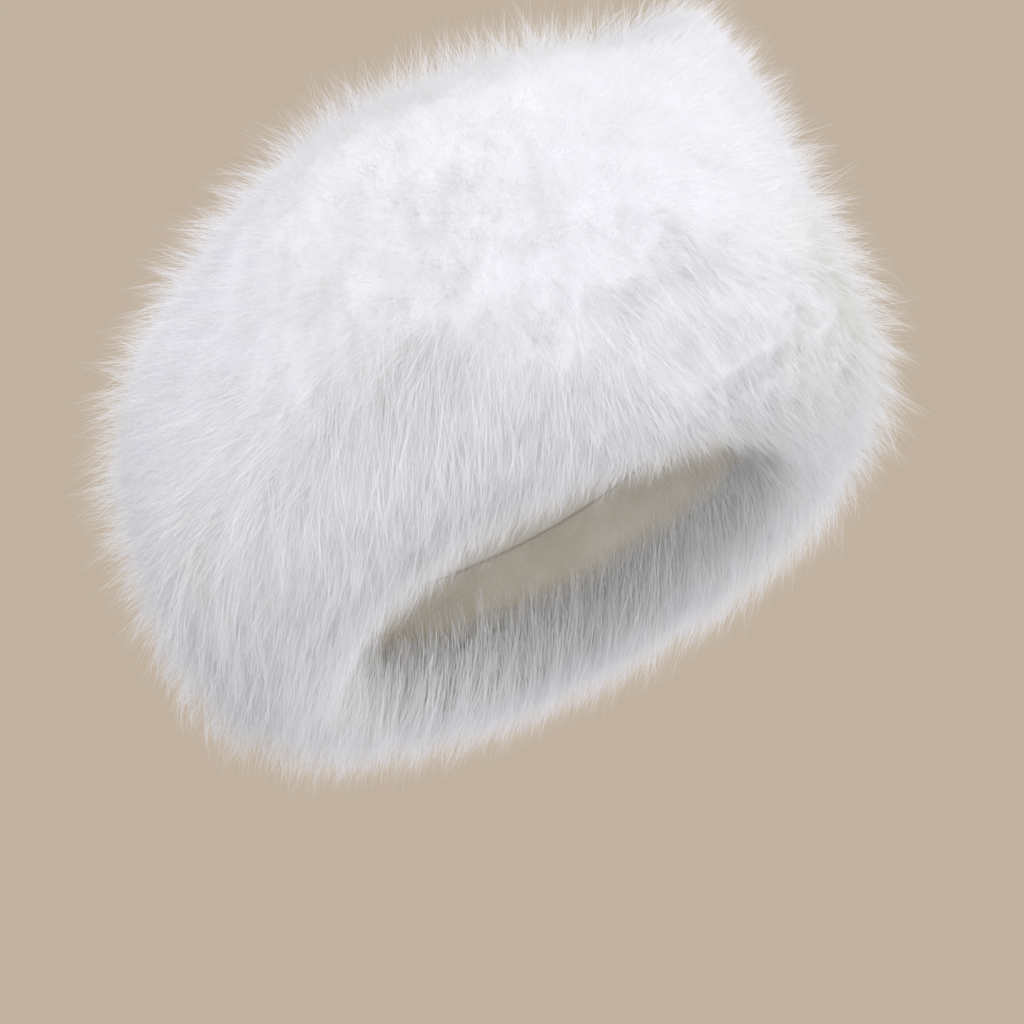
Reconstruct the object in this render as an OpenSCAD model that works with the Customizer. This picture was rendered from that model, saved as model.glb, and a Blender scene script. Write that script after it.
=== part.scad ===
// Round faux-fur winter hat: a deep fur side band and a fur crown over a stiffened, padded and lined cap.
// +Z points up through the crown, -Y is the front and +X the wearer's left. Z = 0 is the lowest edge of
// the fur, on which the hat stands, and the origin lies at the centre of the head opening.
// Every layer follows one oval, the head opening, at its own distance outwards, and one ball, the crown.

/* [Head opening] */
// Half length of the head opening, front to back
head_half_length = 99; // [94:0.5:106]
// Half width of the head opening, side to side
head_half_width = 83; // [79:0.5:88]
// Radius of the opening's front and back ends
head_end_radius = 67; // [60:0.5:70]

/* [Cap] */
// Height of the crown's inside above the fur's lowest edge
crown_height = 138; // [130:0.5:148]
// Radius of the crown's inside, which is part of a ball
crown_radius = 146; // [140:0.5:156]
// How far the middle of the crown sits forward of the head opening's
crown_forward = 24; // [10:0.5:26]
// Angle from the crown's middle to its seam
crown_seam_angle = 31; // [24:0.5:31]
// Height of the turned hem above the fur's lowest edge
hem_height = 28; // [20:0.5:36]

/* [Layers] */
// Height of the sweatband
sweatband_height = 30; // [20:0.5:36]
// Thickness of the sweatband
sweatband_thickness = 1.2; // [0.8:0.1:2]
// Thickness of the satin lining
lining_thickness = 0.8; // [0.5:0.1:1.5]
// Thickness of the wadding
wadding_thickness = 7; // [4:0.5:12]
// Thickness of the stiff interlining
interlining_thickness = 1.2; // [0.8:0.1:2]
// Width of the stay tape that lies on the turned hem
tape_width = 8; // [5:0.5:9]
// Thickness of the stay tape
tape_thickness = 0.8; // [0.5:0.1:1.2]
// Clearance between neighbouring pieces
layer_gap = 0.3; // [0.2:0.05:0.5]

/* [Fur] */
// Depth of the pile on the side wall, from its knitted backing to the fur's face
side_pile = 42; // [32:0.5:52]
// Depth of the pile on the crown
crown_pile = 40; // [30:0.5:48]
// Radius of the pile's fall at its lower outside edge
hem_outer_round = 40; // [24:0.5:42]
// Radius of the pile round the head opening
hem_inner_round = 9; // [5:0.5:10]
// How much the shoulder between the wall and the crown is rounded off, front and back
shoulder_fall = 3.5; // [1:0.5:5]

/* [Hidden] */
$fn = 96;

FRONT = -1;
BACK = 1;
FUR_WHITE = [0.97, 0.97, 0.95];
INTERLINING_GREY = [0.84, 0.85, 0.87];
WADDING_WHITE = [0.93, 0.93, 0.91];
SATIN_IVORY = [0.90, 0.87, 0.81];
TAPE_CREAM = [0.88, 0.86, 0.80];

// Distances outwards from the head oval to each layer's inner face; the sweatband's is the oval itself
lining_depth = sweatband_thickness + layer_gap;
wadding_depth = lining_depth + lining_thickness + layer_gap;
interlining_depth = wadding_depth + wadding_thickness + layer_gap;
fur_depth = interlining_depth + interlining_thickness + layer_gap;
fur_face_depth = fur_depth + side_pile;

// The brim stands on a flat ring, at least this wide, between its two round edges
foot_width = 3;
brim_round = min(hem_outer_round, fur_face_depth - hem_inner_round - foot_width);

// How far the end arcs' centres lie from the middle, front and back
end_offset = head_half_length - head_end_radius;
// Radius of the long arcs at the sides, which meet the end arcs smoothly
side_radius = (pow(end_offset, 2) + pow(head_half_width, 2) - pow(head_end_radius, 2))
    / (2 * (head_half_width - head_end_radius));
// How far the side arcs' centres lie beyond the middle, on the far side
side_offset = side_radius - head_half_width;
// Half of the angle that a side arc spans
side_half_angle = atan2(end_offset, side_offset);

// The crown's balls share a centre, and a ball's radius grows with its layer's depth
ball_centre = [0, -crown_forward, crown_height - crown_radius];
function ball_radius(depth) = crown_radius + depth - lining_depth;
fur_ball_radius = ball_radius(fur_depth) + crown_pile;

// The shoulder is rounded off by one more ball, above the crown's centre and a little behind it
shoulder_rise = 40;
shoulder_back = 8.2;
shoulder_centre = ball_centre + [0, shoulder_back, shoulder_rise];
fur_front = -head_half_length - fur_face_depth;
fur_front_height = sqrt(pow(fur_ball_radius, 2) - pow(fur_front + crown_forward, 2));
front_shoulder = [0, fur_front, ball_centre.z + fur_front_height];
shoulder_radius = norm(front_shoulder - shoulder_centre) - shoulder_fall;

// Heights at which the pieces stand: on the turned hem, and on the tape that lies on it
hem_seat = hem_height + layer_gap;
tape_seat = hem_seat + tape_thickness + layer_gap;

// Sizes past every outline, for cutting
over_top = crown_height + fur_face_depth + crown_pile;
beyond = head_half_length + fur_face_depth + crown_pile;

// The head oval moved outwards by depth, from four arcs that meet smoothly
module oval(depth) {
    for (way = [FRONT, BACK])
        translate([0, way * end_offset])
            circle(r = head_end_radius + depth);
    intersection() {
        translate([-side_offset, 0])
            circle(r = side_radius + depth);
        translate([side_offset, 0])
            circle(r = side_radius + depth);
        square([2 * beyond, 2 * (side_radius + depth) * sin(side_half_angle)], center = true);
    }
}

module oval_post(depth, bottom, top) {
    translate([0, 0, bottom])
        linear_extrude(top - bottom)
            oval(depth);
}

// The part of an outline's revolve that lies between two of the head oval's joins. The joins lie along
// the lines through the centres of neighbouring arcs.
module arc_sweep(centre, radius, reach) {
    translate([centre.x, centre.y, 0])
        intersection() {
            rotate_extrude()
                translate([radius, 0])
                    children();
            translate([0, 0, -beyond])
                linear_extrude(2 * beyond)
                    polygon(reach);
        }
}

// Sweeps an outline round the head oval: its x runs outwards from the oval and its y upwards
module sweep_round_oval() {
    far = 4 * beyond * [cos(side_half_angle), sin(side_half_angle)];
    for (way = [FRONT, BACK]) {
        arc_sweep([0, way * end_offset], head_end_radius, [[0, 0], [-far.x, way * far.y], [far.x, way * far.y]])
            children();
        arc_sweep([-way * side_offset, 0], side_radius, [[0, 0], [way * far.x, -far.y], [way * far.x, far.y]])
            children();
    }
}

module crown_ball(radius) {
    translate(ball_centre)
        sphere(r = radius);
}

module shoulder_ball() {
    translate(shoulder_centre)
        sphere(r = shoulder_radius);
}

// The cone, from the balls' centre through the crown's seam, that the crown's panels fill
module seam_cone(clearance) {
    translate(ball_centre - [0, 0, clearance / sin(crown_seam_angle)])
        cylinder(h = over_top, r1 = 0, r2 = over_top * tan(crown_seam_angle));
}

// A panel of the crown: a ball's shell, as far out as the seam
module crown_panel(depth, thickness) {
    inner_radius = ball_radius(depth);
    translate(ball_centre)
        rotate_extrude()
            intersection() {
                difference() {
                    circle(r = inner_radius + thickness);
                    circle(r = inner_radius);
                }
                polygon([[0, 0], [over_top * tan(crown_seam_angle), over_top], [0, over_top]]);
            }
}

// The space inside a layer: straight up from the hem, then closed by the crown's ball
module cap_space(depth, bottom) {
    intersection() {
        oval_post(depth, bottom, over_top);
        crown_ball(ball_radius(depth));
    }
}

// A layer of the side, from a seat at the hem to the crown's seam; at the back it leans in over the head
module side_layer(depth, thickness, seat) {
    difference() {
        cap_space(depth + thickness, seat);
        cap_space(depth, seat - 1);
        seam_cone(layer_gap);
    }
}

// Keeps the front or back panel of a side layer, with the side seams' clearance between them
module half(way) {
    intersection() {
        children();
        translate([-beyond, way == BACK ? layer_gap / 2 : -beyond, -beyond])
            cube([2 * beyond, beyond - layer_gap / 2, 3 * beyond]);
    }
}

// What a round edge takes off a square corner at [0, 0]; the round is a shade full, so that it meets both
// faces at a slight angle
module edge_waste(radius) {
    difference() {
        translate([-radius, -radius])
            square(2 * radius);
        translate([radius, radius])
            circle(r = 1.01 * radius);
    }
}

// The side's fur: its pile wraps under the hem to the head oval, and its backing wraps the inner cap.
// It stands on a flat foot between two round edges, and its shoulder is rounded off.
module side_fur() {
    difference() {
        intersection() {
            oval_post(fur_face_depth, 0, over_top);
            crown_ball(fur_ball_radius);
            shoulder_ball();
        }
        oval_post(0, -1, hem_height + 1);
        cap_space(fur_depth, hem_height);
        seam_cone(layer_gap);
        sweep_round_oval()
            translate([fur_face_depth, 0])
                mirror([1, 0])
                    edge_waste(brim_round);
        sweep_round_oval()
            edge_waste(hem_inner_round);
    }
}

module fur_side_front() {
    color(FUR_WHITE)
        half(FRONT)
            side_fur();
}

module fur_side_back() {
    color(FUR_WHITE)
        half(BACK)
            side_fur();
}

module fur_crown() {
    color(FUR_WHITE)
        crown_panel(fur_depth, crown_pile);
}

module interlining_side_front() {
    color(INTERLINING_GREY)
        half(FRONT)
            side_layer(interlining_depth, interlining_thickness, tape_seat);
}

module interlining_side_back() {
    color(INTERLINING_GREY)
        half(BACK)
            side_layer(interlining_depth, interlining_thickness, tape_seat);
}

module interlining_crown() {
    color(INTERLINING_GREY)
        crown_panel(interlining_depth, interlining_thickness);
}

module wadding_side_front() {
    color(WADDING_WHITE)
        half(FRONT)
            side_layer(wadding_depth, wadding_thickness, tape_seat);
}

module wadding_side_back() {
    color(WADDING_WHITE)
        half(BACK)
            side_layer(wadding_depth, wadding_thickness, tape_seat);
}

module wadding_crown() {
    color(WADDING_WHITE)
        crown_panel(wadding_depth, wadding_thickness);
}

module lining_side_front() {
    color(SATIN_IVORY)
        half(FRONT)
            side_layer(lining_depth, lining_thickness, tape_seat);
}

module lining_side_back() {
    color(SATIN_IVORY)
        half(BACK)
            side_layer(lining_depth, lining_thickness, tape_seat);
}

module lining_crown() {
    color(SATIN_IVORY)
        crown_panel(lining_depth, lining_thickness);
}

// The sweatband stands on the hem inside the lining, and leans in with it at the back
module sweatband() {
    color(TAPE_CREAM)
        intersection() {
            side_layer(0, sweatband_thickness, hem_seat);
            oval_post(sweatband_thickness, 0, hem_seat + sweatband_height);
        }
}

// A flat tape on the turned hem keeps the opening from stretching
module hem_tape() {
    color(TAPE_CREAM)
        difference() {
            oval_post(lining_depth + tape_width, hem_seat, hem_seat + tape_thickness);
            oval_post(lining_depth, hem_seat - 1, tape_seat);
        }
}

fur_side_front();
fur_side_back();
fur_crown();
interlining_side_front();
interlining_side_back();
interlining_crown();
wadding_side_front();
wadding_side_back();
wadding_crown();
lining_side_front();
lining_side_back();
lining_crown();
sweatband();
hem_tape();
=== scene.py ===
import math
from collections import namedtuple

import bpy
import numpy as np
from mathutils import Matrix, Vector, kdtree


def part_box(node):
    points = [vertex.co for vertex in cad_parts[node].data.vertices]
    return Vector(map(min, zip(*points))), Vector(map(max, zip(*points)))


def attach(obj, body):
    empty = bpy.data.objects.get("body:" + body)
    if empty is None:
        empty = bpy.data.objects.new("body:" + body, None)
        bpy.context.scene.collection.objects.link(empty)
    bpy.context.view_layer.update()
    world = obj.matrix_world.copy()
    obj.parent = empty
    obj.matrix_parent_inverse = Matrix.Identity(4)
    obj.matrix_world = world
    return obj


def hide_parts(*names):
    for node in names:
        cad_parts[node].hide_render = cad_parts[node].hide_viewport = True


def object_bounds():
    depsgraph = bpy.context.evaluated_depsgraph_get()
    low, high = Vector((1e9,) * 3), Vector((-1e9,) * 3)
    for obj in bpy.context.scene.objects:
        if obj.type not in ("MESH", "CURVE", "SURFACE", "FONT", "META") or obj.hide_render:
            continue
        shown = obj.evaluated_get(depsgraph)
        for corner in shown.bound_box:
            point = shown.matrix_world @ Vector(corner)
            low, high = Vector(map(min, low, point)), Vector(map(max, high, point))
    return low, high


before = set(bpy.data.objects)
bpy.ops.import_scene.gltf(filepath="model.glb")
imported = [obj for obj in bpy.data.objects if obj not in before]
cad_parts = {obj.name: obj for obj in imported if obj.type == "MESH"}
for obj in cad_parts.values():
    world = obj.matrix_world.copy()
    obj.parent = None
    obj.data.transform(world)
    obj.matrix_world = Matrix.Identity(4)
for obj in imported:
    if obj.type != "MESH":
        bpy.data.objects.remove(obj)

cad_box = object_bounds()
MM = 0.001
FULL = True
PARTS = ("front", "back", "crown")

# ---------------------------------------------------------------- shape, from the CAD frame
# The head oval has four arcs; its sizes come from the sweatband, whose inner face is the oval itself.
band_lo, band_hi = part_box("sweatband")
BAND = 1.2 * MM                                  # the sweatband's thickness
HALF_W, HALF_L = band_hi.x - BAND, -band_lo.y - BAND
END_R = 67 * MM                                  # the arcs at the forehead and the nape
END_OFF = HALF_L - END_R
SIDE_R = (END_OFF ** 2 + HALF_W ** 2 - END_R ** 2) / (2 * (HALF_W - END_R))
SIDE_OFF = SIDE_R - HALF_W

FACE = cad_box[1].x - HALF_W                     # how far the fur's face lies outside the oval

# The crown is part of a ball, and a cone about the ball's middle cuts it off at the crown's seam.
crown_lo, crown_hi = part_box("fur_crown")
TOP = cad_box[1].z
BALL_Y = (crown_lo.y + crown_hi.y) / 2
BALL_R = 195.9 * MM
BALL_Z = TOP - BALL_R
INNER_BALL = 146 * MM                            # the lining's inner face
SEAM = math.radians(31)

# Each layer's inner face, measured outwards from the oval.
LINING, WAD_IN, FELT_IN, FUR_IN = 1.5 * MM, 2.6 * MM, 9.9 * MM, 11.4 * MM

# The lower edge: the hem turns up inside, with the tape on it, and the layers stand on the tape.
GAP = 0.3 * MM
tape_lo, tape_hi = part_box("hem_tape")
HEM_SEAT = tape_lo.z
HEM = HEM_SEAT - GAP
TAPE_SEAT = tape_hi.z + GAP
BAND_TOP = band_hi.z
OUT_ROUND, IN_ROUND = 40 * MM, 9 * MM            # the hem's rounds, outside and inside


def around(angle, depth):
    """A point of the head oval moved outwards by depth, where its outward direction has this angle."""
    ex, ey = np.cos(angle), np.sin(angle)
    end = np.abs(ey) * SIDE_OFF > np.abs(ex) * END_OFF
    cx = np.where(end, 0.0, -np.sign(ex) * SIDE_OFF)
    cy = np.where(end, np.sign(ey) * END_OFF, 0.0)
    r = np.where(end, END_R, SIDE_R) + depth
    return cx + r * ex, cy + r * ey


def ball_height(x, y, radius):
    """The height of the crown's ball over a point."""
    return BALL_Z + np.sqrt(np.maximum(radius ** 2 - x ** 2 - (y - BALL_Y) ** 2, 1e-9))


def unit(v):
    return v / np.maximum(np.linalg.norm(v, axis=-1, keepdims=True), 1e-9)


def smooth_rows(a, sigma):
    """Blurs an array along its second axis by a bell curve, with its ends held."""
    n = int(3 * sigma) + 1
    k = np.exp(-0.5 * (np.arange(-n, n + 1) / sigma) ** 2)
    k /= k.sum()
    p = np.concatenate([np.repeat(a[:, :1], n, 1), a, np.repeat(a[:, -1:], n, 1)], 1)
    out = np.zeros_like(a)
    for i, w in enumerate(k):
        out += w * p[:, i:i + a.shape[1]]
    return out


def fur_shell(inset, columns, rows, foot=0.0, soften=10 * MM):
    """The fur's face moved inwards, as points (columns, rows, 3).

    They run from the hem's inside, under it and up to the crown's middle."""
    face = FACE - inset
    r_in = max(IN_ROUND - 0.4 * inset, 3 * MM)
    r_out = max(OUT_ROUND - 0.7 * inset, 6 * MM)
    d_in = min(0.35 * inset, 0.45 * face)
    prof = []
    for z in np.linspace(HEM, foot + r_in, 6):
        prof.append((d_in, z))
    for a in np.linspace(0, math.pi / 2, 8)[1:]:
        prof.append((d_in + r_in - r_in * math.cos(a), foot + r_in - r_in * math.sin(a)))
    for a in np.linspace(0, math.pi / 2, 14):
        prof.append((face - r_out + r_out * math.sin(a), foot + r_out - r_out * math.cos(a)))
    prof = np.array(prof)
    out = np.zeros((columns, rows, 3))
    for i in range(columns):
        angle = 2 * math.pi * i / columns
        px, py = around(np.full(len(prof), angle), prof[:, 0])
        wx, wy = px[-1], py[-1]
        top = float(ball_height(wx, wy, BALL_R - inset))
        zs = np.linspace(prof[-1, 1], top, 12)[1:]
        t = np.linspace(0, 1, 40)[1:]
        cx, cy = wx * (1 - t), wy + (BALL_Y - wy) * t
        line = np.concatenate([
            np.stack([px, py, prof[:, 1]], 1),
            np.stack([np.full(len(zs), wx), np.full(len(zs), wy), zs], 1),
            np.stack([cx, cy, ball_height(cx, cy, BALL_R - inset)], 1)])
        run = np.concatenate([[0], np.cumsum(np.linalg.norm(np.diff(line, axis=0), axis=1))])
        at = np.linspace(0, run[-1], rows)
        for k in range(3):
            out[i, :, k] = np.interp(at, run, line[:, k])
    step = 0.26 / rows                           # the profile is about 260 mm long
    soft = smooth_rows(out, soften / step)
    keep = np.clip((np.arange(rows) / rows - 0.30) / 0.12, 0, 1)[None, :, None]
    out = out * (1 - keep) + soft * keep         # the crown's edge is soft, and the hem keeps its form
    out[:, -1] = out[:, -1].mean(0)
    return out


def grid_normals(p):
    """Outward directions of a closed shell's points; its last rows meet at the crown's middle."""
    du = np.roll(p, -1, 0) - np.roll(p, 1, 0)
    dv = np.gradient(p, axis=1)
    n = unit(np.cross(du, dv))
    n[:, -2:] = (0, 0, 1)
    if n[0, p.shape[1] // 2, 0] < 0:
        n = -n
    return n


# ---------------------------------------------------------------- noise, the same on every run
def lumps(p, size, seed, waves=14):
    """Smooth noise from -1 to 1 at the points, with lumps of about this size."""
    r = np.random.default_rng(seed)
    d = unit(r.normal(size=(waves, 3)))
    f = 2 * math.pi / (size * r.uniform(1.6, 3.2, waves))
    ph = r.uniform(0, 2 * math.pi, waves)
    return np.sin(p @ (d * f[:, None]).T + ph).sum(-1) / math.sqrt(waves)


# ---------------------------------------------------------------- materials
def material(name):
    """A new node material, with its node tree and its main shader."""
    m = bpy.data.materials.new(name)
    m.use_nodes = True
    nt = m.node_tree
    p = nt.nodes["Principled BSDF"]
    return m, nt, p


def node(nt, kind, **inputs):
    """A new node; each value goes to the input or, failing that, to the setting of that name."""
    n = nt.nodes.new(kind)
    for k, v in inputs.items():
        if k in n.inputs:
            n.inputs[k].default_value = v
        else:
            setattr(n, k, v)
    return n


def ramp(nt, source, stops):
    """A colour ramp fed by source."""
    r = nt.nodes.new("ShaderNodeValToRGB")
    e = r.color_ramp.elements
    while len(e) < len(stops):
        e.new(0.5)
    for el, (at, c) in zip(e, stops):
        el.position = at
        el.color = (*c, 1)
    nt.links.new(source, r.inputs[0])
    return r.outputs[0]


def lin(*c):
    """An 8-bit colour as a linear one."""
    return tuple(v / 255 / 12.92 if v / 255 <= 0.04045 else ((v / 255 + 0.055) / 1.055) ** 2.4 for v in c)


def pile_material():
    """White pile: creamy and greyer towards its roots, cool white at its tips, with patches of tone."""
    m, nt, p = material("pile_fibre")
    uv = node(nt, "ShaderNodeUVMap")
    uv.uv_map = "OFBake"
    sep = node(nt, "ShaderNodeSeparateXYZ")
    nt.links.new(uv.outputs[0], sep.inputs[0])
    along = ramp(nt, sep.outputs[1], [
        (0.0, lin(243, 243, 242)), (0.45, lin(250, 250, 249)), (1.0, lin(253, 253, 254))])
    tone = ramp(nt, sep.outputs[0], [
        (0.0, lin(250, 250, 244)), (0.5, lin(252, 252, 252)), (1.0, lin(254, 254, 255))])
    mix = node(nt, "ShaderNodeMix", data_type="RGBA", blend_type="MULTIPLY")
    mix.inputs[0].default_value = 1.0
    nt.links.new(along, mix.inputs[6])
    nt.links.new(tone, mix.inputs[7])
    nt.links.new(mix.outputs[2], p.inputs["Base Color"])
    tr = node(nt, "ShaderNodeBsdfTranslucent")
    nt.links.new(mix.outputs[2], tr.inputs["Color"])
    ms = node(nt, "ShaderNodeMixShader")
    ms.inputs[0].default_value = 0.22
    nt.links.new(p.outputs[0], ms.inputs[1])
    nt.links.new(tr.outputs[0], ms.inputs[2])
    nt.links.new(ms.outputs[0], nt.nodes["Material Output"].inputs["Surface"])
    p.inputs["Roughness"].default_value = 0.62
    p.inputs["Specular IOR Level"].default_value = 0.25
    p.inputs["Sheen Weight"].default_value = 0.15
    p.inputs["Sheen Roughness"].default_value = 0.5
    return m


def coat_material():
    """The dense short underfur between the long strands; its grey, darker than the strands, is painted shade
    of the pile's depth.
    """
    m, nt, p = material("underfur")
    tc = node(nt, "ShaderNodeTexCoord")
    a = node(nt, "ShaderNodeTexNoise", Scale=90.0, Detail=6.0, Roughness=0.6)
    b = node(nt, "ShaderNodeTexNoise", Scale=900.0, Detail=4.0, Roughness=0.7)
    nt.links.new(tc.outputs["Object"], a.inputs["Vector"])
    nt.links.new(tc.outputs["Object"], b.inputs["Vector"])
    # greyer than the strands: painted shade, standing in for the shadow deep in the pile
    c = ramp(nt, a.outputs[0], [(0.3, lin(233, 233, 234)), (0.7, lin(239, 239, 241))])
    nt.links.new(c, p.inputs["Base Color"])
    bump = node(nt, "ShaderNodeBump", Strength=0.4, Distance=0.001)
    nt.links.new(b.outputs[0], bump.inputs["Height"])
    nt.links.new(bump.outputs[0], p.inputs["Normal"])
    p.inputs["Roughness"].default_value = 0.9
    p.inputs["Specular IOR Level"].default_value = 0.1
    return m


PILE, COAT = pile_material(), coat_material()


# ---------------------------------------------------------------- meshes
def mesh_object(name, verts, loops, starts, mat, uv=None, smooth=True):
    """A mesh object that rides on the body, from flat arrays of corners and of each face's first corner."""
    me = bpy.data.meshes.new(name)
    me.vertices.add(len(verts))
    me.vertices.foreach_set("co", np.asarray(verts, np.float32).ravel())
    me.loops.add(len(loops))
    me.loops.foreach_set("vertex_index", np.asarray(loops, np.int32))
    me.polygons.add(len(starts))
    me.polygons.foreach_set("loop_start", np.asarray(starts, np.int32))
    if uv is not None:
        layer = me.uv_layers.new(name="OFBake")
        layer.uv.foreach_set("vector", np.asarray(uv, np.float32).ravel())
    me.update(calc_edges=True)
    me.polygons.foreach_set("use_smooth", np.full(len(starts), smooth))
    me.validate()
    me.materials.append(mat)
    ob = bpy.data.objects.new(name, me)
    bpy.context.scene.collection.objects.link(ob)
    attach(ob, "root")
    return ob


def strands(name, root, tip, bend, out, width, tone, mat, segments=3, taper=1.4, seed=1):
    """Thin blades from root to tip that show their flats outwards.

    bend pushes their middles aside, and a high taper keeps them wide for longer."""
    n = len(root)
    r = np.random.default_rng(seed)
    t = np.linspace(0, 1, segments + 1)
    axis = tip - root
    side = unit(np.cross(unit(axis), unit(out + 0.45 * r.normal(size=(n, 3)))))
    bow = (4 * t * (1 - t))[None, :, None]
    pts = root[:, None] + axis[:, None] * t[None, :, None] + bend[:, None] * bow
    w = width[:, None] * (1 - 0.9 * t[None, :] ** taper) * 0.5
    left = pts[:, :-1] - side[:, None] * w[:, :-1, None]
    right = pts[:, :-1] + side[:, None] * w[:, :-1, None]
    verts = np.concatenate([np.stack([left, right], 2).reshape(n, -1, 3), pts[:, -1:]], 1)
    quads = range(segments - 1)                  # a blade is this many quads, and a triangle at its tip
    base = (np.arange(n) * (2 * segments + 1))[:, None]
    blade = np.concatenate([[2 * k, 2 * k + 1, 2 * k + 3, 2 * k + 2] for k in quads]
                           + [[2 * segments - 2, 2 * segments - 1, 2 * segments]])
    loops = (base + blade[None]).ravel()
    corners = 4 * len(quads) + 3
    starts = ((np.arange(n) * corners)[:, None] + (np.arange(segments) * 4)[None]).ravel()
    v = np.concatenate([[t[k], t[k], t[k + 1], t[k + 1]] for k in quads] + [[t[-2], t[-2], 1.0]])
    du = np.concatenate([[-1, 1, 1, -1] for _ in quads] + [[-1, 1, 0]]) * 0.004
    u = np.clip(tone, 0.01, 0.99)[:, None] + du[None]
    uv = np.stack([np.clip(u, 0, 1), np.broadcast_to(v, u.shape)], -1).reshape(-1, 2)
    return mesh_object(name, verts.reshape(-1, 3), loops, starts, mat, uv, smooth=False)


# ---------------------------------------------------------------- the pile
COLS, ROWS = 480, 260
face = fur_shell(0.0, COLS, ROWS)
norm = grid_normals(face)
norm[:, -2:] = (0, 0, 1)
norm = unit(smooth_rows(norm, 14))


def pick(count, seed, weight=None):
    """Points spread over the fur's face, evenly or by weight, as grid places."""
    r = np.random.default_rng(seed)
    du = np.roll(face, -1, 0) - face
    dv = np.concatenate([np.diff(face, axis=1), np.zeros((COLS, 1, 3))], 1)
    area = np.linalg.norm(np.cross(du, dv), axis=-1)
    if weight is not None:
        area = area * weight
    area[:, -1] = 0
    flat = np.cumsum(area.ravel())
    at = np.searchsorted(flat, r.uniform(0, flat[-1], count))
    return np.stack([at // ROWS + r.uniform(0, 1, count), at % ROWS + r.uniform(0, 1, count)], 1)


def read(grid, at):
    """A grid's values at these places, blended between its points."""
    i, j = np.floor(at[:, 0]).astype(int), np.minimum(np.floor(at[:, 1]).astype(int), ROWS - 2)
    a, b = (at[:, 0] - i)[:, None], (at[:, 1] - j)[:, None]
    i0, i1 = i % COLS, (i + 1) % COLS
    return ((grid[i0, j] * (1 - a) + grid[i1, j] * a) * (1 - b)
            + (grid[i0, j + 1] * (1 - a) + grid[i1, j + 1] * a) * b)


def hump(p, centre, size):
    """1 at the centre, falling away with distance as a bell curve does."""
    q = (p - np.array(centre) * MM) / (np.array(size) * MM)
    return np.exp(-0.5 * (q ** 2).sum(-1))


def swell(p):
    """How far the pile's ends stand beyond the CAD's face, in metres: broad soft lumps."""
    out = 0.0003 * hump(p, (-10, -125, 160), (60, 40, 30)) - 0.0045 * hump(p, (50, -138, 30), (45, 30, 40))
    out = out - 0.010 * hump(p, (-64, 134, 42), (42, 32, 36))
    out = out - 0.0015 * hump(p, (-22, -116, 163), (18, 14, 14))
    out = out - 0.001 * hump(p, (-108, 25, 145), (30, 60, 30)) - 0.005 * wispy(p)
    return out - 0.0009 + 0.0006 * lumps(p, 0.034, 5) + 0.0003 * lumps(p, 0.012, 6)


def peak(p):
    """The tuft that stands up at the front of the crown, as a shift of the strands' ends."""
    way = unit(np.array([-0.06, -0.52, 0.85]))
    high = 0.0155 * hump(p, (-4, -149, 142), (20, 16, 17)) + 0.002 * hump(p, (18, -130, 156), (34, 20, 20))
    return high[:, None] * way


def wispy(p):
    """Where the pile thins out towards its ends: 1 at the back of the brim, 0 elsewhere."""
    return hump(p, (-48, 138, 8), (60, 45, 30))


def combed(p, n):
    """The way the pile is brushed: to the back on both flanks, a little forwards over the brow."""
    back = np.array([0, 1.0, 0]) - n * n[:, 1:2]
    along = np.array([-150, -110, -88, -60, -20, 150]) * MM
    far = np.interp(p[:, 1], along, [-0.30, -0.25, 0.05, 0.45, 0.75, 0.8])
    high = np.interp(p[:, 2], [0.0, 0.03, 0.07, 0.17], [1.0, 0.85, 0.45, 0.2])
    return back * (far * high)[:, None]


BEYOND = np.array([16.5, 17.2, 13.8]) * MM       # how far hair may reach past the CAD's box on each axis
ROOM_LO = np.array(cad_box[0]) - BEYOND
ROOM_HI = np.array(cad_box[1]) + BEYOND

# The kinds of strand: how many, and the seed of their random draws; how deep the roots lie and how wide the
# strands are, in mm; how far the comb draws the ends along; the most in one piece; and how a blade is cut.
Kind = namedtuple("Kind", "count seed deep width comb per_piece segments taper")
KINDS = {
    "coat": Kind(900000, 101, (8, 15), (0.13, 0.21), 0.6, 62000, 2, 1.4),
    "guard": Kind(50000, 202, (11, 18), (0.085, 0.14), 0.3, 37000, 3, 2.0),
    "tuft": Kind(8500, 303, (9, 14), (0.10, 0.16), 0.25, 37000, 3, 4.0),
    "brim": Kind(5000, 404, (8, 13), (0.10, 0.16), 0.9, 37000, 3, 3.0),
    "crest": Kind(750, 505, (9, 14), (0.10, 0.16), 0.1, 37000, 3, 3.0),
}
LOCKS = ("tuft", "brim", "crest")                # of these, each strand becomes a few hairs that nearly meet


def crowding(kind):
    """Where a kind of strand stands closer together, or None where it is spread evenly."""
    if kind == "brim":
        return np.exp(-((np.arange(ROWS) / ROWS - 0.09) / 0.06) ** 2)[None]
    if kind == "crest":
        return hump(face, (-4, -148, 141), (26, 18, 20))
    if kind == "coat":
        return 1 + 2 * hump(face, (-2, -146, 145), (26, 18, 22))
    return None


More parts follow.
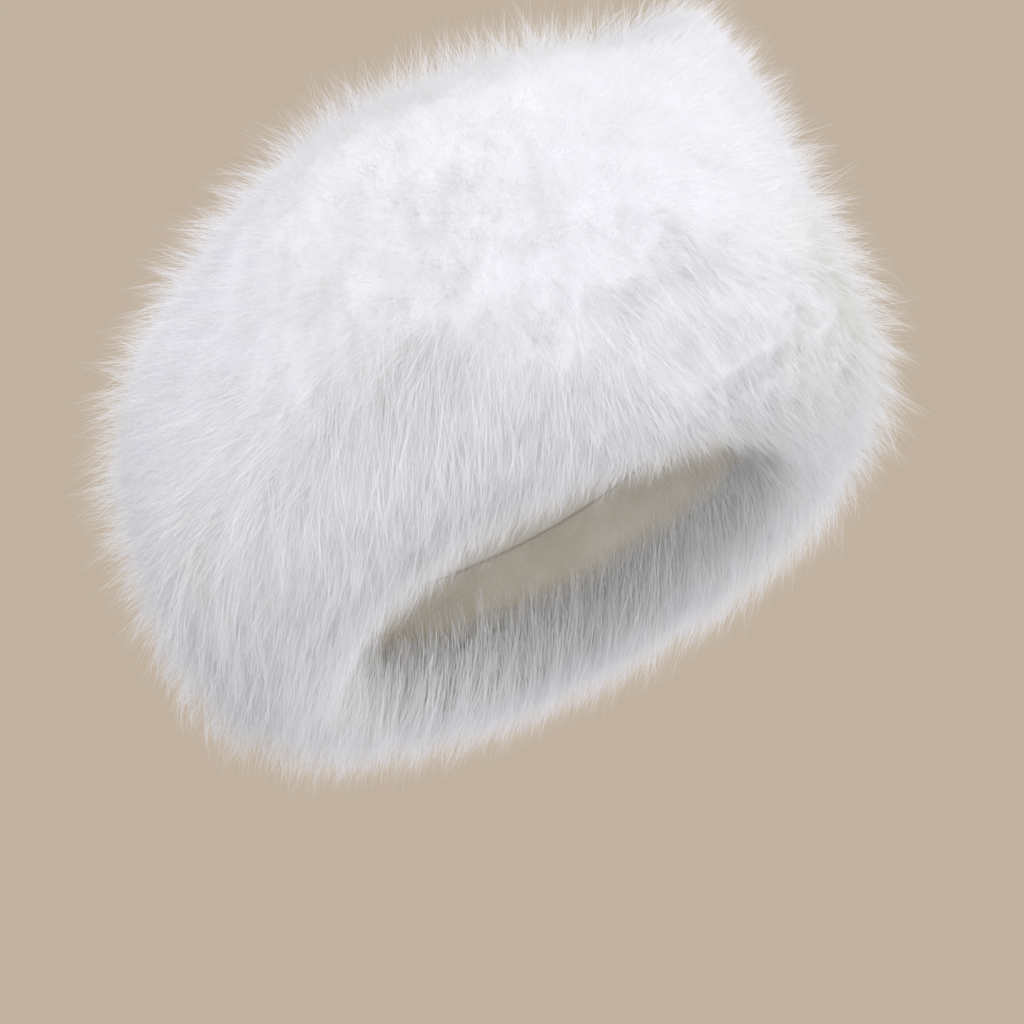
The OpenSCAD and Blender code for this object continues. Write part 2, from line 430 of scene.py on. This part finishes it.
def grow(kind, count):
    """Each strand's place, root, tip, outward direction and width.

    Its end stands over the fur's face, and it runs inwards from there."""
    r = np.random.default_rng(KINDS[kind].seed)
    at = pick(count, KINDS[kind].seed, crowding(kind))
    p, n = read(face, at), unit(read(norm, at))
    level = p[:, 2]
    row = at[:, 1] / ROWS
    lip = np.interp(row, [0.0, 0.05, 0.09, 0.14], [0.45, 0.6, 0.85, 1.0])    # shorter inside the opening
    hang = np.clip((0.20 - row) / 0.07, 0, 1)[:, None]                       # straight down under the brim
    n = unit(n * (1 - hang) + np.array([0, 0, -1.0]) * hang + 0.15 * n * hang)
    fall = np.array([0, 0, -1.0]) + n * n[:, 2:]                             # downhill along the face
    across = np.cross(n, unit(fall + 1e-6))
    lean = np.interp(level, [0.0, 0.02, 0.045, 0.08, 0.13, 0.19], [1.1, 0.9, 0.5, 0.25, 0.2, 0.15])
    lean = lean + 0.15 * lumps(p, 0.035, 11)
    swirl = 0.22 * lumps(p, 0.045, 12) + 0.16 * lumps(p, 0.016, 13)
    comb = combed(p, n)
    loose = 0.20 if kind == "coat" else 0.24
    j1, j2 = r.normal(size=(2, count)) * loose
    stray = unit(fall + 1e-6) * j1[:, None] + across * (swirl + j2)[:, None]
    flow = unit(n + comb + fall * lean[:, None] + stray)
    out = swell(p) + np.clip(1 - level / 0.035, 0, 1) * 0.0016 * np.maximum(lumps(p, 0.007, 14), 0)
    deep = r.uniform(*KINDS[kind].deep, count) * MM
    if kind == "coat":
        over = out - 0.8 * MM + r.normal(0, 1.2 * MM, count) + r.exponential(1.2 * MM, count)
        over = over - 2.5 * MM * np.clip(1 - row / 0.10, 0, 1)
        over = over - r.exponential(9 * MM, count) * wispy(p)
    elif kind == "tuft":
        over = out + np.clip(r.normal(16, 4.5, count), 3, 25) * MM
    elif kind == "crest":
        over = out + np.clip(r.normal(8, 4.0, count), 1, 18) * MM
    elif kind == "brim":
        over = out + (5 + 14 * r.beta(1.3, 1.2, count)) * MM
    else:
        over = out + 21 * MM * r.beta(1.0, 1.9, count)
    width = r.uniform(*KINDS[kind].width, count) * MM
    per_axis = np.where(np.abs(n) > 0.02, n, 0.02 * np.sign(n + 1e-9))
    room = np.where(n > 0, ROOM_HI - p, ROOM_LO - p) / per_axis
    over = np.minimum(over, room.min(1) * r.uniform(0.72, 1.0, count))
    over = np.where(row < 0.14, over * np.interp(row, [0.0, 0.03, 0.10], [0.4, 0.9, 1.0]), over)
    reach = np.maximum(over, 0)[:, None]
    tip = p + n * over[:, None] + (comb * KINDS[kind].comb + fall * 0.22) * reach + peak(p)
    length = (deep * lip + np.maximum(over, 0)) / np.maximum((flow * n).sum(-1), 0.45)
    root = p + n * over[:, None] * 0.5 - flow * length[:, None] + peak(p) * 0.85
    return at, root, tip, n, width


def clump(root, tip, spacing, pull, seed, uneven=0.05):
    """Draws each strand's end towards the middle strand of its lock; the locks are spacing apart."""
    r = np.random.default_rng(seed)
    seeds = r.choice(len(root), min(int(0.17 / spacing ** 2), len(root) // 2), replace=False)
    tree = kdtree.KDTree(len(seeds))
    for k, s in enumerate(seeds):
        tree.insert(Vector(tip[s]), k)
    tree.balance()
    mine = np.array([tree.find(q)[1] for q in tip])
    goal = tip[seeds[mine]]
    reach = 1 + uneven * r.normal(size=len(seeds))[mine] * np.minimum(pull * 2, 1)
    pull = pull * r.uniform(0.5, 1.2, len(root))
    tip = tip + (goal - tip) * pull[:, None]
    return root + (tip - root) * reach[:, None]


def zones(p):
    """Which of PARTS each point belongs to."""
    crown = np.hypot(p[:, 0], p[:, 1] - BALL_Y) < (p[:, 2] - BALL_Z) * math.tan(SEAM)
    return np.where(crown, 2, np.where(p[:, 1] < 0, 0, 1))


def plant(kind, share):
    """Makes a kind of strand all over the hat, in pieces that each belong to one CAD node."""
    look = KINDS[kind]
    count, seed = int(look.count * share), look.seed
    at, root, tip, n, width = grow(kind, count)
    r = np.random.default_rng(seed + 3)
    if kind == "coat":
        low = np.interp(tip[:, 2], [0.0, 0.04, 0.08, 0.13], [1.0, 0.6, 0.28, 0.12])
        hem = np.clip(1 - tip[:, 2] / 0.03, 0, 1)
        tip = clump(root, tip, 11 * MM, 0.20 * low, seed + 1)
        tip = clump(root, tip, 5 * MM, 0.45 * hem, seed + 4, 0.10)
        tip = clump(root, tip, 2.4 * MM, 0.36 * low, seed + 2)
    if kind in LOCKS:
        many = np.repeat(np.arange(count), r.integers(3, 10, count))
        at, root, tip, n, width = (a[many] for a in (at, root, tip, n, width))
        count = len(many)
        root = root + r.normal(0, 1.5 * MM, (count, 3))
        tip = tip + r.normal(0, (1.5 if kind == "tuft" else 2.1) * MM, (count, 3))
        tip = root + (tip - root) * r.uniform(0.72, 1.0, (count, 1))
    axis = tip - root
    length = np.linalg.norm(axis, axis=1, keepdims=True)
    bend = (n * 0.07 + np.array([0, 0, 0.01]) + r.normal(size=n.shape) * 0.035) * length
    bend -= unit(axis) * (bend * unit(axis)).sum(-1, keepdims=True)
    tip = np.clip(tip, ROOM_LO, ROOM_HI)
    tone = 0.5 + 0.17 * lumps(root, 0.05, 21) + 0.08 * lumps(root, 0.012, 22) + r.normal(0, 0.08, count)
    zone = zones(root)
    for z, part in enumerate(PARTS):
        idx = np.flatnonzero(zone == z)
        if not len(idx):
            continue
        order = idx[np.argsort(at[idx, 0], kind="stable")]
        for k, chunk in enumerate(np.array_split(order, math.ceil(len(idx) / look.per_piece))):
            strands(f"fur_{kind}_{part}_{k + 1:02d}", root[chunk], tip[chunk], bend[chunk], n[chunk],
                    width[chunk], tone[chunk], PILE, look.segments, look.taper, seed + 10 + k)


for kind in KINDS:
    plant(kind, 1.0 if FULL else 0.22)


# ---------------------------------------------------------------- the inner layers
def ball(depth):
    """The radius of a layer's crown."""
    return INNER_BALL + depth - LINING


def side_grid(depth, seat, part, columns, rows, clear=0.15 * MM):
    """A layer's face for the front or back half: up from its seat, then over the ball to the crown's seam."""
    lo = math.pi if part == "front" else 0.0
    apart = 0.0012                               # keeps the halves clear of each other, in radians
    angles = np.linspace(lo + apart, lo + math.pi - apart, columns)
    wx, wy = around(angles, depth)
    rb = ball(depth)
    top = ball_height(wx, wy, rb)
    q = np.stack([wx, wy - BALL_Y], 1)
    q = q / np.linalg.norm(q, axis=1, keepdims=True) * (rb * math.sin(SEAM) + clear)
    t = np.linspace(0, 1, 24)[1:]
    out = np.zeros((columns, rows, 3))
    for i in range(columns):
        x = np.concatenate([[wx[i], wx[i]], wx[i] + (q[i, 0] - wx[i]) * t])
        y = np.concatenate([[wy[i], wy[i]], wy[i] + (q[i, 1] + BALL_Y - wy[i]) * t])
        z = np.concatenate([[seat, top[i]], ball_height(x[2:], y[2:], rb)])
        line = np.stack([x, y, z], 1)
        run = np.concatenate([[0], np.cumsum(np.linalg.norm(np.diff(line, axis=0), axis=1))])
        at = np.linspace(0, run[-1], rows)
        for k in range(3):
            out[i, :, k] = np.interp(at, run, line[:, k])
    return out


def crown_grid(depth, size, shrink=0.15 * MM):
    """A layer's face over the crown: a square grid pressed round onto the ball's cap, out to the seam."""
    v = np.linspace(-1, 1, size)
    a, b = np.meshgrid(v, v, indexing="ij")
    r = ball(depth) * math.sin(SEAM) - shrink
    x, y = a * np.sqrt(1 - b * b / 2) * r, b * np.sqrt(1 - a * a / 2) * r + BALL_Y
    return np.stack([x, y, ball_height(x, y, ball(depth))], -1)


def layer_grid(depth, seat, part, columns, rows):
    """A layer's face for one of the parts."""
    return crown_grid(depth, rows) if part == "crown" else side_grid(depth, seat, part, columns, rows)


def slab(name, inner, outer, mat, closed=False):
    """A closed layer between two grids."""
    c, r = inner.shape[:2]
    n = c * r
    i, j = np.meshgrid(np.arange(c if closed else c - 1), np.arange(r - 1), indexing="ij")
    i2 = (i + 1) % c
    a, b, d, e = i * r + j, i2 * r + j, i2 * r + j + 1, i * r + j + 1
    quads = [np.stack([e, d, b, a], -1).reshape(-1, 4), np.stack([a, b, d, e], -1).reshape(-1, 4) + n]
    k = np.arange(c if closed else c - 1)
    k2 = (k + 1) % c
    quads.append(np.stack([k * r, k2 * r, k2 * r + n, k * r + n], -1))
    quads.append(np.stack([k2 * r, k * r, k * r + n, k2 * r + n], -1) + (r - 1))
    if not closed:
        m = np.arange(r - 1)
        quads.append(np.stack([m + 1, m, m + n, m + 1 + n], -1))
        quads.append(np.stack([m, m + 1, m + 1 + n, m + n], -1) + (c - 1) * r)
    quads = np.concatenate(quads)
    verts = np.concatenate([inner.reshape(-1, 3), outer.reshape(-1, 3)])
    return mesh_object(name, verts, quads.ravel(), np.arange(len(quads)) * 4, mat)


def outward(p):
    """Outward directions of a layer's points."""
    n = unit(np.cross(np.gradient(p, axis=0), np.gradient(p, axis=1)))
    i, j = p.shape[0] // 2, p.shape[1] // 2
    from_head = p[i, j] - np.array([0, 0, 0.04])
    return n if (n[i, j] * from_head).sum() > 0 else -n


DIAMOND = 32 * MM


def quilt(p, part):
    """0 on the quilting lines and 1 between them, where the lining stands up in diamonds."""
    if part == "crown":
        u, v = p[..., 0], p[..., 1] - BALL_Y
    else:
        round_foot = np.cumsum(np.linalg.norm(np.diff(p[:, :1], axis=0), axis=-1), 0)
        u = np.repeat(np.concatenate([np.zeros((1, 1)), round_foot]), p.shape[1], 1)
        upwards = np.cumsum(np.linalg.norm(np.diff(p, axis=1), axis=-1), 1)
        v = np.concatenate([np.zeros((p.shape[0], 1)), upwards], 1)
    a, b = (u + v) / DIAMOND, (u - v) / DIAMOND
    return np.sqrt(np.abs(np.sin(math.pi * a)) * np.abs(np.sin(math.pi * b)) + 1e-6)


def satin_material():
    """The lining: smooth and slightly shiny, with faint creases."""
    m, nt, p = material("satin")
    tc = node(nt, "ShaderNodeTexCoord")
    n = node(nt, "ShaderNodeTexNoise", Scale=38.0, Detail=5.0, Roughness=0.55)
    nt.links.new(tc.outputs["Object"], n.inputs["Vector"])
    c = ramp(nt, n.outputs[0], [(0.25, lin(222, 216, 203)), (0.75, lin(238, 233, 222))])
    nt.links.new(c, p.inputs["Base Color"])
    fine = node(nt, "ShaderNodeTexNoise", Scale=1400.0, Detail=3.0, Roughness=0.6)
    nt.links.new(tc.outputs["Object"], fine.inputs["Vector"])
    soft = node(nt, "ShaderNodeTexNoise", Scale=120.0, Detail=4.0, Roughness=0.6)
    nt.links.new(tc.outputs["Object"], soft.inputs["Vector"])
    b1 = node(nt, "ShaderNodeBump", Strength=0.35, Distance=0.0003)
    nt.links.new(fine.outputs[0], b1.inputs["Height"])
    b2 = node(nt, "ShaderNodeBump", Strength=0.45, Distance=0.0012)
    nt.links.new(soft.outputs[0], b2.inputs["Height"])
    nt.links.new(b1.outputs[0], b2.inputs["Normal"])
    nt.links.new(b2.outputs[0], p.inputs["Normal"])
    p.inputs["Roughness"].default_value = 0.34
    p.inputs["Specular IOR Level"].default_value = 0.5
    p.inputs["Sheen Weight"].default_value = 0.2
    return m


def cloth_material(name, dark, light, scale, rough, bump):
    """A matt woven or felted cloth."""
    m, nt, p = material(name)
    tc = node(nt, "ShaderNodeTexCoord")
    n = node(nt, "ShaderNodeTexNoise", Scale=scale * 0.06, Detail=5.0, Roughness=0.6)
    f = node(nt, "ShaderNodeTexNoise", Scale=scale, Detail=3.0, Roughness=0.7)
    for t in (n, f):
        nt.links.new(tc.outputs["Object"], t.inputs["Vector"])
    nt.links.new(ramp(nt, n.outputs[0], [(0.3, lin(*dark)), (0.7, lin(*light))]), p.inputs["Base Color"])
    b = node(nt, "ShaderNodeBump", Strength=bump, Distance=0.0006)
    nt.links.new(f.outputs[0], b.inputs["Height"])
    nt.links.new(b.outputs[0], p.inputs["Normal"])
    p.inputs["Roughness"].default_value = rough
    p.inputs["Specular IOR Level"].default_value = 0.2
    return m


SATIN = satin_material()
BANDCLOTH = cloth_material("grosgrain", (214, 206, 190), (229, 222, 208), 900.0, 0.7, 0.5)
TAPE = cloth_material("tape", (214, 209, 196), (226, 221, 209), 1100.0, 0.8, 0.6)
FELT = cloth_material("interlining", (203, 206, 210), (216, 218, 221), 700.0, 0.9, 0.7)
FILL = cloth_material("wadding", (228, 228, 224), (240, 240, 237), 300.0, 0.95, 0.8)
KNIT = cloth_material("knitted_backing", (226, 226, 221), (238, 238, 234), 650.0, 0.95, 0.9)
THREAD = cloth_material("thread", (220, 213, 198), (236, 230, 217), 1500.0, 0.6, 0.4)

# underfur: the dense pile's body, one piece for each CAD fur node
UNDER = 2.8 * MM                                 # how far it lies under the pile's face
cols, rows = 288, 132
under = fur_shell(UNDER, cols, rows, foot=2.5 * MM, soften=8 * MM)
under_out = grid_normals(under)
over = (under + under_out * UNDER).reshape(-1, 3)
lift = swell(over) - 1.0 * MM * np.clip(1 - over[..., 2] / 0.035, 0, 1)
lift = lift - 5 * MM * wispy(over) + 0.3 * MM * lumps(over, 0.008, 31)
under = under + under_out * lift.reshape(cols, rows, 1) + 0.92 * peak(over).reshape(cols, rows, 3)
under = under.reshape(-1, 3)
i, j = np.meshgrid(np.arange(cols), np.arange(rows - 1), indexing="ij")
i2 = (i + 1) % cols
quads = np.stack([i * rows + j, i2 * rows + j, i2 * rows + j + 1, i * rows + j + 1], -1).reshape(-1, 4)
zone = zones(under[quads].mean(1))
for z, part in enumerate(PARTS):
    q = quads[zone == z]
    used, loops = np.unique(q.ravel(), return_inverse=True)
    ob = mesh_object(f"fur_underfur_{part}", under[used], loops, np.arange(len(q)) * 4, COAT)
    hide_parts("fur_crown" if part == "crown" else f"fur_side_{part}")

# the layers under it, from the outside in
for part in PARTS:
    suffix = part if part == "crown" else f"side_{part}"
    knit_in, knit_out = (layer_grid(FUR_IN + d, HEM + 0.4 * MM, part, 96, 48) for d in (0.15 * MM, 0.9 * MM))
    ob = slab(f"fur_backing_{part}", knit_in, knit_out, KNIT)
    felt_in, felt_out = (layer_grid(d, TAPE_SEAT, part, 96, 40) for d in (FELT_IN, FELT_IN + 1.2 * MM))
    ob = slab(f"interlining_felt_{part}", felt_in, felt_out, FELT)
    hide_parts(f"interlining_{suffix}")
    pad_in, pad_out = (layer_grid(d, TAPE_SEAT, part, 120, 56) for d in (WAD_IN, WAD_IN + 7 * MM))
    n = outward(pad_in)
    thin = (0.35 + 0.25 * lumps(pad_in.reshape(-1, 3), 0.02, 41)).reshape(pad_in.shape[:2])[..., None] * MM
    ob = slab(f"wadding_pad_{part}", pad_in + n * thin, pad_out - n * thin * 1.4, FILL)
    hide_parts(f"wadding_{suffix}")
    lin_in, lin_out = (layer_grid(d, TAPE_SEAT, part, 260, 110 if part != "crown" else 140)
                       for d in (LINING, LINING + 0.8 * MM))
    n = outward(lin_in)
    puff = quilt(lin_in, part)
    free = np.clip((lin_in[..., 2] - BAND_TOP - 2 * MM) / (12 * MM), 0, 1)
    if part == "crown":
        rr = np.hypot(lin_in[..., 0], lin_in[..., 1] - BALL_Y) / (ball(LINING) * math.sin(SEAM))
        edge = np.clip((1 - rr) / 0.06, 0, 1) ** 0.5
    else:
        h, v = (np.linspace(0, 1, count) for count in puff.shape)
        edge = np.clip((1 - v) / 0.05, 0, 1)[None, :] ** 0.5
        edge = edge * (np.clip(np.minimum(h, 1 - h) / 0.02, 0, 1) ** 0.5)[:, None]
    lift = (1.9 * MM * puff * free * edge)[..., None]
    ob = slab(f"lining_satin_{part}", lin_in - n * lift, lin_out - n * lift * 0.9, SATIN)
    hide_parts(f"lining_{suffix}")

# sweatband: a ribbed band round the opening, with its ribs in the mesh
ribs = 1880 if FULL else 600
ang = np.linspace(0, 2 * math.pi, ribs, endpoint=False)
up = np.array([0, 0.5, 1.2, 3, 8, 15, 22, 27, 28.8, 29.5, 30]) * MM
zs = up + HEM_SEAT
rib = 0.10 * MM * np.where(np.arange(ribs) % 4 < 2, 1, -1)
bx, by = around(ang, 0.22 * MM + rib)
sag = 0.25 * MM * lumps(np.stack([bx, by, 0 * bx], 1), 0.06, 51)
rim = np.array([0, 0.8 * MM, 29.2 * MM, 30 * MM]) + HEM_SEAT
edge_in = np.interp(zs, rim, [0.5, 0, 0, 0.5]) * MM
inner = np.zeros((ribs, len(zs), 3))
outer = np.zeros_like(inner)
for k, z in enumerate(zs):
    x, y = around(ang, 0.22 * MM + rib + edge_in[k])
    inner[:, k] = np.stack([x, y, np.full(ribs, z) + sag * 0.3], 1)
    x, y = around(ang, BAND - edge_in[k] * 0.4)
    outer[:, k] = np.stack([x, y, np.full(ribs, z) + sag * 0.3], 1)
band = slab("sweatband_ribbed", inner, outer, BANDCLOTH, closed=True)
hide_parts("sweatband")

# stay tape, flat on the turned hem
TAPE_WIDE, TAPE_THICK = 8 * MM, 0.8 * MM
count = 360
ang = np.linspace(0, 2 * math.pi, count, endpoint=False)
low, high = np.zeros((count, 6, 3)), np.zeros((count, 6, 3))
for k, d in enumerate(np.linspace(0, TAPE_WIDE, 6)):
    x, y = around(ang, LINING + d)
    low[:, k] = np.stack([x, y, np.full(count, HEM_SEAT)], 1)
    high[:, k] = np.stack([x, y, np.full(count, HEM_SEAT + TAPE_THICK)], 1)
tape = slab("stay_tape", low, high, TAPE, closed=True)
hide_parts("hem_tape")


def stitches(name, points, ways, ins, length, thick):
    """Short raised threads along a line: points, the way each runs, and the side it stands on."""
    rings, sides = 5, 6
    t = np.linspace(-0.5, 0.5, rings)
    hoop = np.linspace(0, 2 * math.pi, sides, endpoint=False)[None, None, :, None]
    side = unit(np.cross(ways, ins))
    raised = (thick * (0.9 - 3.2 * t ** 2))[None, :, None]
    body = points[:, None] + ways[:, None] * (t * length)[None, :, None] + ins[:, None] * raised
    girth = np.sqrt(np.clip(1 - (2 * t) ** 2, 0.08, 1)) * thick
    ring = ins[:, None, None] * np.cos(hoop) + side[:, None, None] * np.sin(hoop)
    v = body[:, :, None] + ring * girth[None, :, None, None]
    base = (np.arange(len(points)) * rings * sides)[:, None]
    tube = np.array([[a * sides + b, a * sides + c, (a + 1) * sides + c, (a + 1) * sides + b]
                     for a in range(rings - 1) for b in range(sides) for c in [(b + 1) % sides]])
    loops = (base + tube.ravel()[None]).ravel()
    starts = np.arange(len(points) * len(tube)) * 4
    return mesh_object(name, v.reshape(-1, 3), loops, starts, THREAD)


STITCH_PITCH, STITCH_LONG, THREAD_R = 3.0 * MM, 2.0 * MM, 0.22 * MM
OPENING_ROUND = 0.572                            # the opening's way round
for name, z in (("stitching_band_top", HEM_SEAT + 28.4 * MM), ("stitching_band_foot", HEM_SEAT + 1.8 * MM)):
    count = int(OPENING_ROUND / STITCH_PITCH)
    a = np.linspace(0, 2 * math.pi, 4 * count, endpoint=False)
    x, y = around(a, 0.0)
    run = np.concatenate([[0], np.cumsum(np.hypot(np.diff(x), np.diff(y)))])
    a = np.interp(np.linspace(0, run[-1], count, endpoint=False), run, a)
    x, y = around(a, 0.10 * MM)
    ins = -np.stack([np.cos(a), np.sin(a), 0 * a], 1)
    ways = np.stack([-np.sin(a), np.cos(a), 0 * a], 1)
    stitches(name, np.stack([x, y, np.full(count, z)], 1), ways, ins, STITCH_LONG, THREAD_R)

# ---------------------------------------------------------------- camera
# from the wearer's right, a little in front and below, and rolled as the hat is tilted in the photograph
AZ, EL, ROLL = math.radians(-66), math.radians(-24), math.radians(26.3)
toward = Vector((math.sin(AZ) * math.cos(EL), -math.cos(AZ) * math.cos(EL), math.sin(EL)))
right = Vector((math.cos(AZ), math.sin(AZ), 0))
upward = toward.cross(right)
cam_x = math.cos(ROLL) * right - math.sin(ROLL) * upward
cam_y = math.sin(ROLL) * right + math.cos(ROLL) * upward
centre = Vector((0, 0, TOP / 2 + 0.001))
cam = bpy.data.cameras.new("camera")
cam.sensor_width = 36
cam.lens = 129.8
cam_ob = bpy.data.objects.new("camera", cam)
cam_ob.location = centre + toward * 1.405
aim = centre + cam_x * 0.0194 - cam_y * 0.0497
z = (cam_ob.location - aim).normalized()
x = (cam_x - z * cam_x.dot(z)).normalized()
y = z.cross(x)
cam_ob.rotation_mode = "QUATERNION"
cam_ob.rotation_quaternion = Matrix((x, y, z)).transposed().to_quaternion()
bpy.context.scene.collection.objects.link(cam_ob)
bpy.context.scene.camera = cam_ob

# ---------------------------------------------------------------- stage and light
bpy.context.scene.view_settings.view_transform = "Standard"
BEIGE = lin(193, 177, 160)


def link(nt, source, target):
    """Joins an output to an input."""
    nt.links.new(source, target)


def most(nt, a, b):
    """The larger of two outputs."""
    m = node(nt, "ShaderNodeMath", operation="MAXIMUM")
    link(nt, a, m.inputs[0])
    link(nt, b, m.inputs[1])
    return m.outputs[0]


# the world is a plain beige backdrop to look at, and soft cool light to everything else
world = bpy.data.worlds.new("studio")
bpy.context.scene.world = world
world.use_nodes = True
wt = world.node_tree
path = node(wt, "ShaderNodeLightPath")
seen = most(wt, path.outputs["Is Camera Ray"], path.outputs["Is Transmission Ray"])
seen = most(wt, seen, path.outputs["Is Glossy Ray"])
sky = node(wt, "ShaderNodeTexCoord")
split = node(wt, "ShaderNodeSeparateXYZ")
link(wt, sky.outputs["Generated"], split.inputs[0])
height = node(wt, "ShaderNodeMapRange")
height.inputs[1].default_value = -1.0
height.inputs[2].default_value = 1.0
link(wt, split.outputs[2], height.inputs[0])
glow = ramp(wt, height.outputs[0], [(0.25, (0.51, 0.52, 0.58)), (0.8, (0.52, 0.53, 0.60))])
shown = node(wt, "ShaderNodeMix", data_type="RGBA")
link(wt, glow, shown.inputs[6])
shown.inputs[7].default_value = (*BEIGE, 1)
link(wt, seen, shown.inputs[0])
link(wt, shown.outputs[2], wt.nodes["Background"].inputs["Color"])

# the floor hides nothing from below, casts no shadow and throws no light back at the hat
floor_mat, ft, paint = material("floor")
paint.inputs["Base Color"].default_value = (*lin(244, 228, 202), 1)
paint.inputs["Roughness"].default_value = 0.9
paint.inputs["Specular IOR Level"].default_value = 0.1
clear = node(ft, "ShaderNodeBsdfTransparent")
geo = node(ft, "ShaderNodeNewGeometry")
ray = node(ft, "ShaderNodeLightPath")
through = most(ft, geo.outputs["Backfacing"], ray.outputs["Is Shadow Ray"])
through = most(ft, through, ray.outputs["Is Diffuse Ray"])
blend = node(ft, "ShaderNodeMixShader")
link(ft, through, blend.inputs[0])
link(ft, paint.outputs[0], blend.inputs[1])
link(ft, clear.outputs[0], blend.inputs[2])
link(ft, blend.outputs[0], ft.nodes["Material Output"].inputs["Surface"])
bpy.ops.mesh.primitive_plane_add(size=24, location=(0, 0, 0))
floor = bpy.context.object
floor.name = "floor"
floor.data.materials.append(floor_mat)


def lamp(name, place, size, watts):
    """A round soft lamp that faces the hat's middle."""
    li = bpy.data.lights.new(name, "AREA")
    li.shape = "DISK"
    li.size = size
    li.energy = watts
    ob = bpy.data.objects.new(name, li)
    ob.location = place
    ob.rotation_mode = "QUATERNION"
    ob.rotation_quaternion = (Vector((0, 0, 0.09)) - Vector(place)).to_track_quat("-Z", "Y")
    bpy.context.scene.collection.objects.link(ob)


lamp("key", (-1.0, -1.5, 1.25), 1.3, 7)
lamp("side", (-1.9, -0.7, 1.05), 1.0, 12)
lamp("side_low", (-1.7, -0.8, -0.85), 1.4, 15)   # the low ones shine up through the floor
lamp("low", (1.0, -1.7, -0.75), 1.2, 19)
lamp("far", (1.6, 0.9, 1.1), 1.5, 11)
